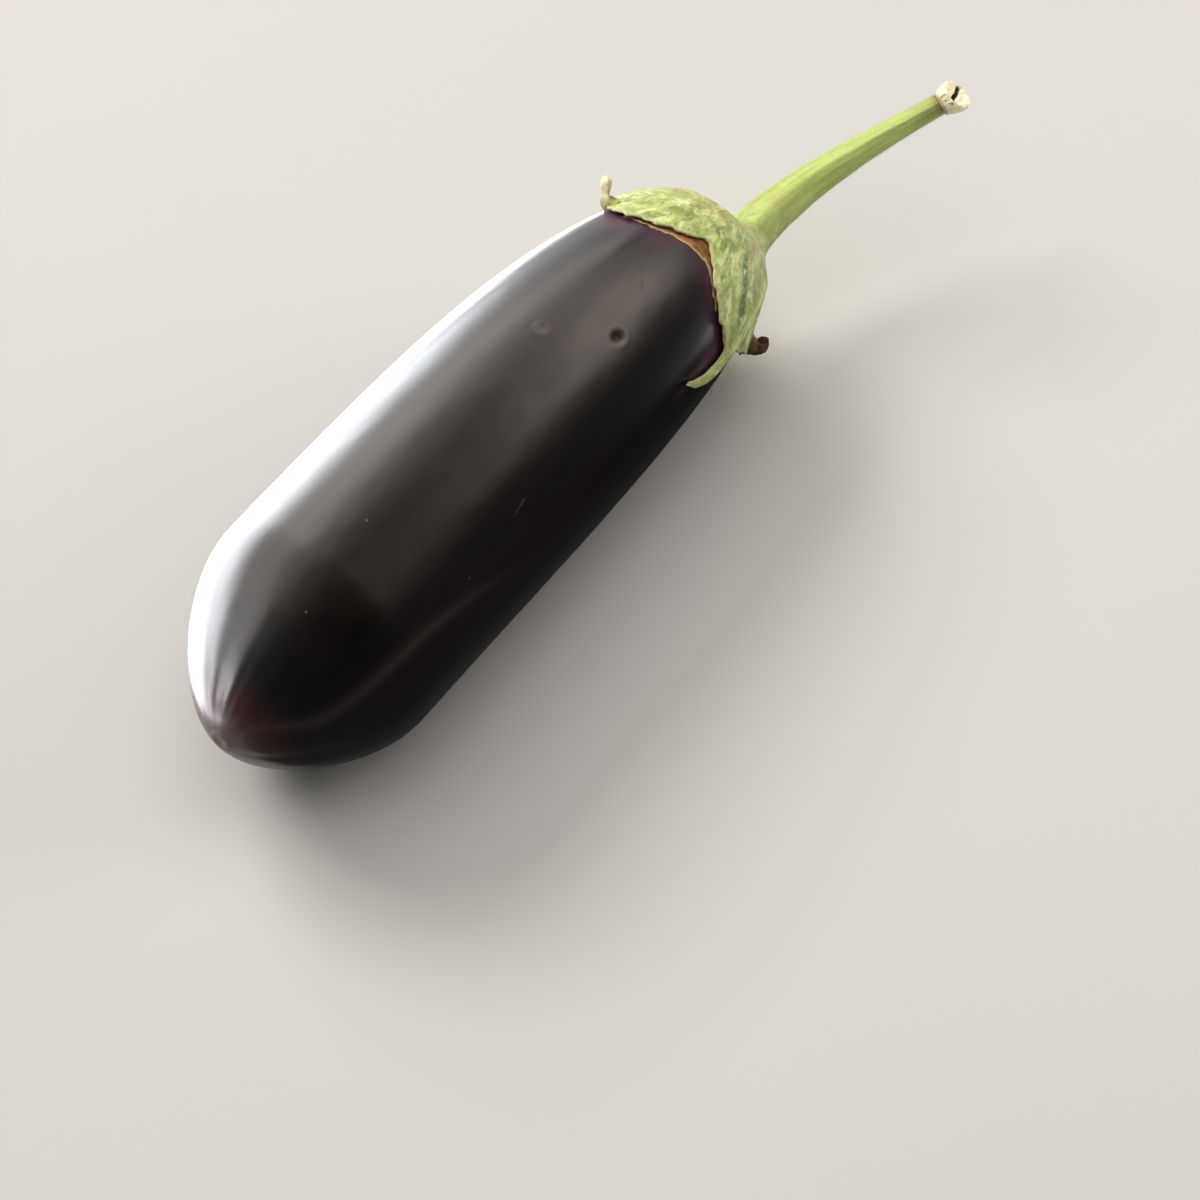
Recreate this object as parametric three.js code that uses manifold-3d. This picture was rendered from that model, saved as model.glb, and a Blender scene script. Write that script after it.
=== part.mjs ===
// An eggplant lying on its belly, as picked: the dark fruit, its green calyx with the stalk, and the
// dried knob where the stalk was cut. Units are millimetres. +X runs from the blossom end to the stalk
// and +Z is up. The origin is the middle of the flat rest spot under the centre of mass, on the surface
// that the fruit lies on.
//
// A place on the fruit's skin is given by two numbers: the distance along its axis, and the roll round
// the axis, which is 0 on top, 90 towards +Y and 180 at the belly.

import * as THREE from "three";
import { mergeVertices } from "three/addons/utils/BufferGeometryUtils.js";
import Module from "manifold-3d";

// The fruit along its axis, from the blossom tip to the stalk end
const FRUIT_LENGTH = 195;
const FRUIT_RADIUS = 32.1;
const WIDEST_AT = 40;
const BLOSSOM_CURVE = { softness: 0.45, fullness: 1.84 };
const STALK_END_CURVE = { power: 3.55, fullness: 3.05 };

// The axis bows a little to one side, and bends once more towards the stalk end
const BOW = -2.17;
const END_BEND = 1.4;
const END_BEND_FROM = 0.6;
const BOW_DIRECTION = { y: -0.915, z: -0.402 };

// The belly is fuller round the rest spot, which is pressed flat
const REST_AT = 97;
const AXIS_HEIGHT = 32.65;
const BELLY = 2.3;
const BELLY_AT = 110;
const BELLY_REACH = 45;
const BELLY_SHARPNESS = 4;

// Soft planes along the fruit, as shares of its radius, and flutes that run into the blossom scar
const PLANES = [
  { count: 2, roll: 21, share: 0.006 },
  { count: 3, roll: 36, share: 0.007 },
];
const FLUTES = { rolls: [-98, -38, 14, 52, 118, 190], depth: 0.5, halfWidth: 9, peakAt: 11, reach: 34 };

// The calyx lies on the stalk end. Depths are measured back along the axis from the fruit's stalk end.
// Each lobe starts at a sinus, bulges on each side of its tip, and ends in a point that is drawn out,
// leans to one side and is lifted off the skin. Two of the lobes carry a withered tip that curls outward.
const CALYX_GAP = 0.45;
const CALYX_THICKNESS = 1.6;
const EDGE_THICKNESS = 0.85;
const MIDRIB = { height: 0.5, halfWidth: 5 };
const LOBES = [
  {
    from: -27, sinus: 18.6, tip: 52, body: 24.5, bulge: [6.3, 1.5], curve: 1.6,
    point: 1.5, pointWidth: 7, lean: 0, lift: 0.6,
    withered: { root: 8.5, length: 9.4, width: 4.6, thickness: 3, curl: 112 },
  },
  {
    from: 84, sinus: 18, tip: 113, body: 31, bulge: [0, 0], curve: 1.9,
    point: 6, pointWidth: 4, lean: -4, lift: 1.2,
  },
  {
    from: 142, sinus: 19, tip: 172, body: 34, bulge: [0, 0], curve: 1.9,
    point: 6, pointWidth: 4, lean: 5, lift: 0.3,
  },
  {
    from: 206, sinus: 19, tip: 243, body: 18.5, bulge: [0, 0], curve: 1.2,
    point: 1.5, pointWidth: 8, lean: 0, lift: 2.4,
    withered: { root: 2.2, length: 7.4, width: 4.6, thickness: 2.2, curl: 110 },
  },
  {
    from: 268, sinus: 28, tip: 276, body: 34, bulge: [4.2, 4.2], curve: 1.1,
    point: 16.5, pointWidth: 3.3, lean: 11, lift: 0.9,
  },
];
// A drawn-out point leans more and more towards its end
const LEAN_POWER = 2.4;
const WITHERED_ROOT_SHARE = 0.6;
const WITHERED_TAPER = 0.25;
const WITHERED_CURL_RADIUS = 2.6;
const WITHERED_RINGS = 9;
const WITHERED_COLUMNS = 10;

// Rings of the calyx, by their distance over the skin from the stalk end. The collar is where the calyx
// starts to rise to the neck, and the lobes part outside the sinus ring.
const COLLAR_ARC = 18.5;
const SINUS_RING_ARC = 24;
const INNER_RINGS = 5;
const LOBE_RINGS = 7;
const FLARE_RINGS = 6;
const COLUMN_SPACING = { closest: 1.2, widest: 7 };
const FEWEST_COLUMN_STEPS = 3;
const FLARE_TENSION = { calyx: 0.35, stalk: 0.8 };

// The stalk's centreline, as a Bezier curve from the middle of the neck, counted from the fruit's stalk
// end and axis
const STALK_CURVE = [
  [7.2, -6.0, -2.7],
  [29.7, -7.1, -0.6],
  [52.3, -19.3, 5.5],
  [62.4, -25.7, 10.5],
];
const NECK_RADIUS = 6.1;
const STALK_END_RADIUS = 2.75;
const STALK_TAPER = 1.35;
const STALK_RINGS = 15;
const STALK_RIBS = { count: 5, roll: -90, share: 0.045 };

// The dried end: a flared knob with a slanted, split face
const KNOB_GAP = 0.3;
const KNOB_LENGTH = 4.8;
const KNOB_BASE_RADIUS = 3.2;
const KNOB_RADIUS = 4.1;
const KNOB_SLANT = 30;
const KNOB_SLANT_ROLL = -15;
const KNOB_FOOT = { height: 0.35, share: 0.9 };
const KNOB_LUMPS = [
  { count: 2, roll: 40, share: 0.05 },
  { count: 5, roll: 10, share: 0.035 },
];
// Rings of the knob's wall: how far up it they are, and how much of the narrow waist they have
const KNOB_WALL = [
  { up: 0, waist: 0.93 },
  { up: 0.14, waist: 1 },
  { up: 0.4, waist: 0.35 },
  { up: 0.7, waist: 0 },
  { up: 0.92, waist: 0 },
  { up: 1, waist: 0.25 },
];
const KNOB_FACE_RINGS = [0.6, 0.3];
const SPLIT = { halfLength: 2.8, halfWidth: 0.75, depth: 2.3, roll: 127 };

// Mesh density of the fruit and the knob
const FRUIT_COLUMNS = 56;
const FRUIT_RINGS = 42;
const KNOB_COLUMNS = 28;

const COLOURS = {
  fruit: { color: 0x1d1518, roughness: 0.22, metalness: 0 },
  calyx_and_stalk: { color: 0x9db463, roughness: 0.62, metalness: 0 },
  dried_cut_end: { color: 0xd9cda6, roughness: 0.85, metalness: 0 },
};

const radians = THREE.MathUtils.degToRad;
const bell = (distance, width) => Math.exp(-((distance / width) ** 2));
const plateau = (distance, width) => Math.exp(-((distance / width) ** 4));

// The signed angle from one roll to another, between -180 and 180
function rollBetween(from, to) {
  return ((((to - from) % 360) + 540) % 360) - 180;
}

// Waves round a cross-section, as a share of its radius
function waves(list, roll) {
  return list.reduce((sum, wave) => sum + wave.share * Math.cos(wave.count * radians(roll - wave.roll)), 0);
}

// A closed mesh through rings of points, shut by a single point at each end. The rings all have the same
// number of points, counted the same way round as roll.
function closedLoft(firstPole, rings, lastPole) {
  const columns = rings[0].length;
  const points = [firstPole, ...rings.flat(), lastPole];
  const last = points.length - 1;
  const triangles = [];
  for (let column = 0; column < columns; column += 1) {
    const next = (column + 1) % columns;
    triangles.push(0, 1 + column, 1 + next);
    for (let ring = 0; ring + 1 < rings.length; ring += 1) {
      const here = 1 + ring * columns;
      const above = here + columns;
      triangles.push(here + column, above + column, here + next);
      triangles.push(above + column, above + next, here + next);
    }
    const rim = last - columns;
    triangles.push(rim + column, last, rim + next);
  }
  const geometry = new THREE.BufferGeometry().setFromPoints(points);
  geometry.setIndex(triangles);
  return geometry;
}

function bodyRadius(along) {
  if (along < WIDEST_AT) {
    const { softness, fullness } = BLOSSOM_CURVE;
    const share = (WIDEST_AT - along) / WIDEST_AT;
    const eased = (Math.hypot(share, softness) - softness) / (Math.hypot(1, softness) - softness);
    return FRUIT_RADIUS * Math.max(0, 1 - eased) ** (1 / fullness);
  }
  const { power, fullness } = STALK_END_CURVE;
  const share = (along - WIDEST_AT) / (FRUIT_LENGTH - WIDEST_AT);
  return FRUIT_RADIUS * Math.max(0, 1 - share ** power) ** (1 / fullness);
}

// The middle of the fruit's cross-section, in the part's own frame
function axisPoint(along) {
  const t = THREE.MathUtils.clamp(along / FRUIT_LENGTH, 0, 1);
  const bend = Math.max(0, (t - END_BEND_FROM) / (1 - END_BEND_FROM)) ** 2;
  const side = BOW * 4 * t * (1 - t) + END_BEND * bend;
  return new THREE.Vector3(along - REST_AT, side * BOW_DIRECTION.y, AXIS_HEIGHT + side * BOW_DIRECTION.z);
}

function radial(roll) {
  return new THREE.Vector3(0, Math.sin(radians(roll)), Math.cos(radians(roll)));
}

function skinRadius(along, roll) {
  const down = Math.max(0, -Math.cos(radians(roll)));
  const belly = BELLY * bell(along - BELLY_AT, BELLY_REACH) * down ** BELLY_SHARPNESS;
  const nearTip = along / FLUTES.peakAt;
  const fluteDepth = FLUTES.depth * nearTip * Math.exp(1 - nearTip) * bell(along, FLUTES.reach);
  let flutes = 0;
  for (const at of FLUTES.rolls) {
    flutes += fluteDepth * bell(rollBetween(at, roll), FLUTES.halfWidth);
  }
  return bodyRadius(along) * (1 + waves(PLANES, roll)) + belly - flutes;
}

// The skin's outward direction, from the slope of the fruit's outline
function skinNormal(along, roll) {
  const step = 0.02;
  const after = Math.min(FRUIT_LENGTH, along + step);
  const before = Math.max(0, along - step);
  const slope = (bodyRadius(after) - bodyRadius(before)) / (after - before);
  return radial(roll).sub(new THREE.Vector3(slope, 0, 0)).normalize();
}

function skinPoint(along, roll, outward = 0) {
  const point = axisPoint(along).addScaledVector(radial(roll), skinRadius(along, roll));
  return outward === 0 ? point : point.addScaledVector(skinNormal(along, roll), outward);
}

// Distance over the skin from the stalk end, against depth along the axis
const ARC_STEPS = 900;
const ARC_DEPTH = 80;
const arcs = [{ depth: 0, arc: 0, radius: 0 }];
for (let step = 1; step <= ARC_STEPS; step += 1) {
  const depth = ARC_DEPTH * (step / ARC_STEPS) ** 3;
  const radius = bodyRadius(FRUIT_LENGTH - depth);
  const before = arcs[step - 1];
  arcs.push({ depth, arc: before.arc + Math.hypot(depth - before.depth, radius - before.radius), radius });
}

function lookUp(from, to, value) {
  const index = Math.max(1, arcs.findIndex((entry) => entry[from] >= value));
  const low = arcs[index - 1];
  const high = arcs[index];
  return THREE.MathUtils.mapLinear(value, low[from], high[from], low[to], high[to]);
}

const arcAtDepth = (depth) => lookUp("depth", "arc", depth);
const depthAtArc = (arc) => lookUp("arc", "depth", arc);

// The column down the middle of a lobe
function tipColumn(lobe) {
  return { lobe, roll: lobe.tip, share: 0, sinus: lobe.sinus, bulge: 0 };
}

// The calyx's columns. Each lobe has some on both sides of its tip, closer together near the tip.
function calyxColumns() {
  const columns = [];
  LOBES.forEach((lobe, index) => {
    const nextLobe = LOBES[(index + 1) % LOBES.length];
    const to = index + 1 < LOBES.length ? nextLobe.from : nextLobe.from + 360;
    const sides = [
      { edge: lobe.from, sinus: lobe.sinus, bulge: lobe.bulge[0] },
      { edge: to, sinus: nextLobe.sinus, bulge: lobe.bulge[1] },
    ];
    for (const { edge, sinus, bulge } of sides) {
      const span = Math.abs(edge - lobe.tip);
      const steps = Math.max(FEWEST_COLUMN_STEPS, Math.round(span / COLUMN_SPACING.widest));
      const power = Math.log(span / COLUMN_SPACING.closest) / Math.log(steps);
      for (let step = 1; step <= steps; step += 1) {
        const share = (step / steps) ** power;
        const roll = lobe.tip + (edge - lobe.tip) * share;
        if (edge > lobe.tip && step === steps) {
          continue;
        }
        columns.push({ lobe, roll, share, sinus, bulge });
      }
    }
    columns.push(tipColumn(lobe));
  });
  return columns.sort((a, b) => a.roll - b.roll);
}

function columnShape({ lobe, roll, share, sinus, bulge }) {
  const offTip = roll - lobe.tip;
  const body = sinus + (lobe.body - sinus) * (1 - share) ** lobe.curve + bulge * 4 * share * (1 - share);
  return {
    roll,
    reach: arcAtDepth(body) + lobe.point * plateau(offTip, lobe.pointWidth),
    pointFrom: arcAtDepth(lobe.body),
    point: lobe.point,
    lean: lobe.lean * bell(offTip, lobe.pointWidth * 2),
    lift: lobe.lift * (1 - share ** 2),
    midrib: MIDRIB.height * bell(offTip, MIDRIB.halfWidth),
  };
}

// How far along its lobe a column is at an arc: 0 inside the ring of the sinuses, 1 at the lobe's edge
function alongLobe(column, arc) {
  return THREE.MathUtils.clamp((arc - SINUS_RING_ARC) / (column.reach - SINUS_RING_ARC), 0, 1);
}

// A point of a calyx column. Arc is the distance over the skin from the stalk end, outward is the height
// above the calyx's inner face.
function calyxPoint(column, arc, outward) {
  const free = alongLobe(column, arc);
  const drawnOut = Math.max(0, (arc - column.pointFrom) / column.point);
  const roll = column.roll + column.lean * drawnOut ** LEAN_POWER;
  return skinPoint(FRUIT_LENGTH - depthAtArc(arc), roll, CALYX_GAP + column.lift * free ** 2 + outward);
}

function calyxThickness(column, arc) {
  const free = alongLobe(column, arc);
  const leaf = EDGE_THICKNESS + (CALYX_THICKNESS - EDGE_THICKNESS) * (1 - free ** 2);
  return leaf + column.midrib * (1 - free);
}

const stalkOrigin = new THREE.Vector3(FRUIT_LENGTH - REST_AT, 0, AXIS_HEIGHT);
const stalkCurve = new THREE.CubicBezierCurve3(
  ...STALK_CURVE.map(([x, y, z]) => new THREE.Vector3(x, y, z).add(stalkOrigin)),
);

// The outward direction at a roll, turned with the stalk as it bends
function stalkRadial(t, roll) {
  const ahead = new THREE.Vector3(1, 0, 0);
  const turn = new THREE.Quaternion().setFromUnitVectors(ahead, stalkCurve.getTangentAt(t));
  return radial(roll).applyQuaternion(turn);
}

function stalkPoint(t, roll) {
  const radius = STALK_END_RADIUS + (NECK_RADIUS - STALK_END_RADIUS) * (1 - t) ** STALK_TAPER;
  const ribs = 1 + STALK_RIBS.share * Math.cos(STALK_RIBS.count * radians(roll - STALK_RIBS.roll));
  return stalkCurve.getPointAt(t).addScaledVector(stalkRadial(t, roll), radius * ribs);
}

// The smooth hollow between the calyx's top and the neck
function flarePoint(column, t) {
  const start = calyxPoint(column, COLLAR_ARC, calyxThickness(column, COLLAR_ARC));
  const ahead = calyxPoint(column, COLLAR_ARC - 0.5, calyxThickness(column, COLLAR_ARC));
  const end = stalkPoint(0, column.roll);
  const span = start.distanceTo(end);
  const startPull = ahead.sub(start).normalize().multiplyScalar(span * FLARE_TENSION.calyx);
  const endPull = stalkCurve.getTangentAt(0).multiplyScalar(span * FLARE_TENSION.stalk);
  const point = start.multiplyScalar((1 + 2 * t) * (1 - t) ** 2);
  point.addScaledVector(startPull, t * (1 - t) ** 2);
  point.addScaledVector(end, t * t * (3 - 2 * t));
  return point.addScaledVector(endPull, t * t * (t - 1));
}

function calyxAndStalk() {
  const columns = calyxColumns().map(columnShape);
  const rings = [];
  const ring = (place) => rings.push(columns.map(place));
  const onLobe = (column, share) => SINUS_RING_ARC + (column.reach - SINUS_RING_ARC) * share;
  for (let step = 1; step <= INNER_RINGS; step += 1) {
    ring((column) => calyxPoint(column, (SINUS_RING_ARC * step) / INNER_RINGS, 0));
  }
  for (let step = 1; step <= LOBE_RINGS; step += 1) {
    ring((column) => calyxPoint(column, onLobe(column, step / LOBE_RINGS), 0));
  }
  for (let step = LOBE_RINGS; step >= 0; step -= 1) {
    ring((column) => {
      const arc = onLobe(column, step / LOBE_RINGS);
      return calyxPoint(column, arc, calyxThickness(column, arc));
    });
  }
  const betweenArc = (SINUS_RING_ARC + COLLAR_ARC) / 2;
  ring((column) => calyxPoint(column, betweenArc, calyxThickness(column, betweenArc)));
  for (let step = 0; step < FLARE_RINGS; step += 1) {
    ring((column) => flarePoint(column, step / FLARE_RINGS));
  }
  for (let step = 0; step <= STALK_RINGS; step += 1) {
    ring((column) => stalkPoint(step / STALK_RINGS, column.roll));
  }
  const innerPole = skinPoint(FRUIT_LENGTH, 0, CALYX_GAP);
  return closedLoft(innerPole, rings, stalkCurve.getPointAt(1));
}

// A withered tip: a blade that leaves its lobe along the skin and curls up off it
function witheredTip(lobe) {
  const { root: rootDepth, length, width, thickness, curl } = lobe.withered;
  const column = columnShape(tipColumn(lobe));
  const rootArc = column.reach - rootDepth;
  const middle = calyxThickness(column, column.reach) / 2;
  const root = calyxPoint(column, rootArc, middle);
  const onward = calyxPoint(column, rootArc + 0.1, middle).sub(root).normalize();
  const outward = skinNormal(FRUIT_LENGTH - depthAtArc(rootArc), lobe.tip);
  const sideways = onward.clone().cross(outward).normalize();
  const rings = [];
  for (let ring = 0; ring < WITHERED_RINGS; ring += 1) {
    const share = ring / (WITHERED_RINGS - 1);
    const angle = Math.min((share * length) / WITHERED_CURL_RADIUS, radians(curl));
    const straight = share * length - angle * WITHERED_CURL_RADIUS;
    const ahead = WITHERED_CURL_RADIUS * Math.sin(angle) + straight * Math.cos(angle);
    const up = WITHERED_CURL_RADIUS * (1 - Math.cos(angle)) + straight * Math.sin(angle);
    const centre = root.clone().addScaledVector(onward, ahead).addScaledVector(outward, up);
    const back = outward.clone().multiplyScalar(Math.cos(angle)).addScaledVector(onward, -Math.sin(angle));
    const swell = Math.min(1, WITHERED_ROOT_SHARE + 2 * share) * (1 - WITHERED_TAPER * share);
    rings.push(Array.from({ length: WITHERED_COLUMNS }, (_, step) => {
      const turn = (2 * Math.PI * step) / WITHERED_COLUMNS;
      const point = centre.clone().addScaledVector(sideways, (Math.cos(turn) * swell * width) / 2);
      return point.addScaledVector(back, (Math.sin(turn) * swell * thickness) / 2);
    }));
  }
  const centreOf = (ring) => ring[0].clone().add(ring[WITHERED_COLUMNS / 2]).multiplyScalar(0.5);
  return closedLoft(centreOf(rings[0]), rings, centreOf(rings[WITHERED_RINGS - 1]));
}

function fruitBody() {
  const rings = [];
  for (let ring = 1; ring < FRUIT_RINGS; ring += 1) {
    const along = (FRUIT_LENGTH * (1 - Math.cos((Math.PI * ring) / FRUIT_RINGS))) / 2;
    const points = [];
    for (let column = 0; column < FRUIT_COLUMNS; column += 1) {
      points.push(skinPoint(along, (360 * column) / FRUIT_COLUMNS));
    }
    rings.push(points);
  }
  return closedLoft(skinPoint(0, 0), rings, skinPoint(FRUIT_LENGTH, 0));
}

// The block under the resting surface, which presses the belly flat
function ground() {
  const size = 2 * FRUIT_LENGTH;
  const depth = FRUIT_RADIUS;
  return new THREE.BoxGeometry(size, size, depth).translate(0, 0, -depth / 2);
}

// The knob is built standing on its base along the stalk's end direction
function driedEnd() {
  const direction = stalkCurve.getTangentAt(1);
  const base = stalkCurve.getPointAt(1).addScaledVector(direction, KNOB_GAP);
  const place = (roll, radius, height) =>
    base.clone().addScaledVector(stalkRadial(1, roll), radius).addScaledVector(direction, height);
  const slope = (roll) => Math.tan(radians(KNOB_SLANT)) * Math.cos(radians(roll - KNOB_SLANT_ROLL));
  const faceHeight = (roll, radius) => KNOB_LENGTH - slope(roll) * radius;
  const outline = (roll, radius) => radius * (1 + waves(KNOB_LUMPS, roll));
  const rolls = Array.from({ length: KNOB_COLUMNS }, (_, column) => (360 * column) / KNOB_COLUMNS);
  const rings = [rolls.map((roll) => place(roll, outline(roll, KNOB_BASE_RADIUS * KNOB_FOOT.share), 0))];
  for (const { up, waist } of KNOB_WALL) {
    const radius = THREE.MathUtils.lerp(KNOB_RADIUS, KNOB_BASE_RADIUS, waist);
    rings.push(rolls.map((roll) => {
      const width = outline(roll, radius);
      return place(roll, width, THREE.MathUtils.lerp(KNOB_FOOT.height, faceHeight(roll, width), up));
    }));
  }
  for (const share of KNOB_FACE_RINGS) {
    rings.push(rolls.map((roll) => {
      const width = outline(roll, KNOB_RADIUS * share);
      return place(roll, width, faceHeight(roll, width));
    }));
  }
  return closedLoft(base, rings, place(0, 0, KNOB_LENGTH));
}

// The split in the dried face: a flattened ball, turned to stand across the knob
function split() {
  const direction = stalkCurve.getTangentAt(1);
  const centre = stalkCurve.getPointAt(1).addScaledVector(direction, KNOB_GAP + KNOB_LENGTH);
  const long = stalkRadial(1, SPLIT.roll);
  const across = direction.clone().cross(long);
  const ball = new THREE.SphereGeometry(1, 20, 12).scale(SPLIT.halfLength, SPLIT.halfWidth, SPLIT.depth);
  const turn = new THREE.Matrix4().makeBasis(long, across, direction).setPosition(centre);
  return ball.applyMatrix4(turn);
}

const wasm = await Module();
wasm.setup();

function toSolid(geometry) {
  const bare = geometry.clone();
  bare.deleteAttribute("normal");
  bare.deleteAttribute("uv");
  const merged = mergeVertices(bare, 1e-4);
  const vertProperties = new Float32Array(merged.attributes.position.array);
  const triVerts = new Uint32Array(merged.index.array);
  return new wasm.Manifold(new wasm.Mesh({ numProp: 3, vertProperties, triVerts }));
}

function toGeometry(solid) {
  const { vertProperties, triVerts } = solid.getMesh();
  const geometry = new THREE.BufferGeometry();
  geometry.setAttribute("position", new THREE.BufferAttribute(vertProperties, 3));
  geometry.setIndex(new THREE.BufferAttribute(triVerts, 1));
  return geometry;
}

const cut = (geometry, tool) => toGeometry(toSolid(geometry).subtract(toSolid(tool)));
const join = (geometry, other) => toGeometry(toSolid(geometry).add(toSolid(other)));

function piece(name, geometry) {
  geometry.computeVertexNormals();
  const mesh = new THREE.Mesh(geometry, new THREE.MeshStandardMaterial(COLOURS[name]));
  mesh.name = name;
  return mesh;
}

const withered = LOBES.filter((lobe) => lobe.withered).map(witheredTip);
const eggplant = new THREE.Group();
eggplant.name = "eggplant";
eggplant.add(
  piece("fruit", cut(fruitBody(), ground())),
  piece("calyx_and_stalk", withered.reduce(join, calyxAndStalk())),
  piece("dried_cut_end", cut(driedEnd(), split())),
);

export default eggplant;
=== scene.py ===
import math
import random

import bpy
import numpy as np
from mathutils import Matrix, Vector


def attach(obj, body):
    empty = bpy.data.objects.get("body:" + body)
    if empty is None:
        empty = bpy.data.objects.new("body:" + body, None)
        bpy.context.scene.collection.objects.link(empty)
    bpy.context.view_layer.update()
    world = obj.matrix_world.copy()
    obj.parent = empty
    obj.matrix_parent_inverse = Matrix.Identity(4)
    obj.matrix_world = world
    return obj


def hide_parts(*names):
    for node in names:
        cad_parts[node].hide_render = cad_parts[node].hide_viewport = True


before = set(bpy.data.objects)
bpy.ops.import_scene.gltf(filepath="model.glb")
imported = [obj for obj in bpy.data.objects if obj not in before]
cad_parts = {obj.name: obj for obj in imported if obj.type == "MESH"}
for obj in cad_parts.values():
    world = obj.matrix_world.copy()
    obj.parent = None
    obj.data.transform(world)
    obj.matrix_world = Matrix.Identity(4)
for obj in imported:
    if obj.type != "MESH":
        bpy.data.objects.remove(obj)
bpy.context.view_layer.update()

MM = 0.001

# The fruit, as in the CAD
FRUIT_LENGTH = 195
FRUIT_RADIUS = 32.1
WIDEST_AT = 40
BLOSSOM_SOFTNESS = 0.45
BLOSSOM_FULLNESS = 1.84
STALK_END_POWER = 3.55
STALK_END_FULLNESS = 3.05
BOW = -2.17
END_BEND = 1.4
END_BEND_FROM = 0.6
BOW_Y = -0.915
BOW_Z = -0.402
REST_AT = 97
AXIS_HEIGHT = 32.65
BELLY = 2.3
BELLY_AT = 110
BELLY_REACH = 45
PLANES = [(2, 21, 0.006), (3, 36, 0.007)]
FLUTE_ROLLS = [-98, -38, 14, 52, 118, 190]
FLUTE_DEPTH = 0.5
FLUTE_HALF_WIDTH = 9
FLUTE_PEAK_AT = 11
FLUTE_REACH = 34

# The calyx, as in the CAD, but closer to the skin
CALYX_GAP = 0.2
CALYX_THICKNESS = 1.75
EDGE_THICKNESS = 0.7
# Each lobe: the roll of the corner where it starts and how far down the fruit that is, the roll of its tip
# and how far down its body reaches, how its sides bulge and curve, its point's length, half width and lean,
# and how far that lifts off the skin. worn is how much of the end has withered away.
LOBES = [
    dict(start=-27, sinus=18.6, tip=52, body=24.5, bulge=(6.3, 1.5), curve=1.6,
         point=1.5, width=7, lean=0, lift=0.6, worn=4),
    dict(start=84, sinus=18, tip=113, body=31, bulge=(0, 0), curve=1.9,
         point=6, width=4, lean=-4, lift=1.2, worn=0),
    dict(start=142, sinus=19, tip=172, body=34, bulge=(0, 0), curve=1.9,
         point=6, width=4, lean=5, lift=0.3, worn=0),
    dict(start=206, sinus=19, tip=243, body=18.5, bulge=(0, 0), curve=1.2,
         point=1.5, width=8, lean=0, lift=2.4, worn=0),
    dict(start=268, sinus=28, tip=276, body=34, bulge=(4.2, 4.2), curve=1.1,
         point=16.5, width=3.3, lean=11, lift=0.9, worn=0),
]
# Between these rolls the wear sets in, and between these it ends
WORN_FROM = (26, 46)
WORN_TO = (84, 64)
LEAN_POWER = 2.4
COLLAR_ARC = 18.5
SINUS_RING_ARC = 24
CALYX_TENSION = 0.35
STALK_TENSION = 0.8

# The stalk and its dried end, as in the CAD
STALK_CURVE = [(7.2, -6.0, -2.7), (29.7, -7.1, -0.6), (52.3, -19.3, 5.5), (62.4, -25.7, 10.5)]
NECK_RADIUS = 6.1
STALK_END_RADIUS = 2.75
STALK_TAPER = 1.35
STALK_RIBS = (5, 0.045)
STALK_RIPPLES = (13, 0.012)
KNOB_GAP = 0.3
KNOB_LENGTH = 4.8
KNOB_FOOT_RADIUS = 3.34
KNOB_BASE_RADIUS = 3.2
KNOB_RADIUS = 4.1
KNOB_SLANT = 30
KNOB_SLANT_ROLL = -15
SPLIT_ROLL = 127
KNOB_LUMPS = [(2, 40, 0.05), (5, 10, 0.035)]

# The two withered tips, which are finer than in the CAD: the lobe that each grows from, how far round from
# its tip and how deep inside its end, its size, and how it curls, twists and narrows
UPPER_TIP = dict(
    lobe=LOBES[0], turn=-15, depth=2.4, length=9.0, width=5.0, thickness=3.2, radius=1.6, curl=116, twist=18,
    widths=[1.35, 0.95, 0.66, 0.78, 0.70], rough=0.10, seed=7)
SIDE_TIP = dict(
    lobe=LOBES[3], turn=0, depth=3.6, length=9.6, width=7.4, thickness=3.6, radius=2.3, curl=170, twist=-30,
    widths=[0.9, 1.0, 0.95, 0.75, 0.5], rough=0.13, seed=12)

# Smooth noise: waves in an octave, how much finer the next one is, and what brings the sum to about 1
NOISE_WAVES = 6
NOISE_STEP = 1.7
NOISE_LEVEL = 5


def bell(distance, width):
    return np.exp(-((distance / width) ** 2))


def plateau(distance, width):
    return np.exp(-((distance / width) ** 4))


def roll_between(start, end):
    return (end - start + 180) % 360 - 180


def smooth_step(low, high, value):
    t = np.clip((value - low) / (high - low), 0, 1)
    return t * t * (3 - 2 * t)


def unit(vectors):
    return vectors / np.linalg.norm(vectors, axis=-1, keepdims=True)


def soft_noise(points, size, seed, octaves=4):
    """Smooth noise about -1 to 1, from waves in seeded directions. Its features are about size across."""
    source = np.random.default_rng(seed)
    total = np.zeros(points.shape[:-1])
    for octave in range(octaves):
        for _ in range(NOISE_WAVES):
            wave = unit(source.normal(size=3)) * 2 * math.pi / (size * NOISE_STEP ** (1 - octave))
            total += np.sin(points @ wave + source.uniform(0, 2 * math.pi)) / NOISE_STEP**octave
    return total / NOISE_LEVEL


def body_radius(along):
    blossom = np.clip((WIDEST_AT - along) / WIDEST_AT, 0, 1)
    most = math.hypot(1, BLOSSOM_SOFTNESS) - BLOSSOM_SOFTNESS
    eased = (np.hypot(blossom, BLOSSOM_SOFTNESS) - BLOSSOM_SOFTNESS) / most
    stalk = np.clip((along - WIDEST_AT) / (FRUIT_LENGTH - WIDEST_AT), 0, 1)
    near = np.maximum(0, 1 - eased) ** (1 / BLOSSOM_FULLNESS)
    far = np.maximum(0, 1 - stalk**STALK_END_POWER) ** (1 / STALK_END_FULLNESS)
    return FRUIT_RADIUS * np.where(along < WIDEST_AT, near, far)


def radial(roll):
    turn = np.radians(roll)
    return np.stack([np.zeros_like(turn), np.sin(turn), np.cos(turn)], axis=-1)


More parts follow.
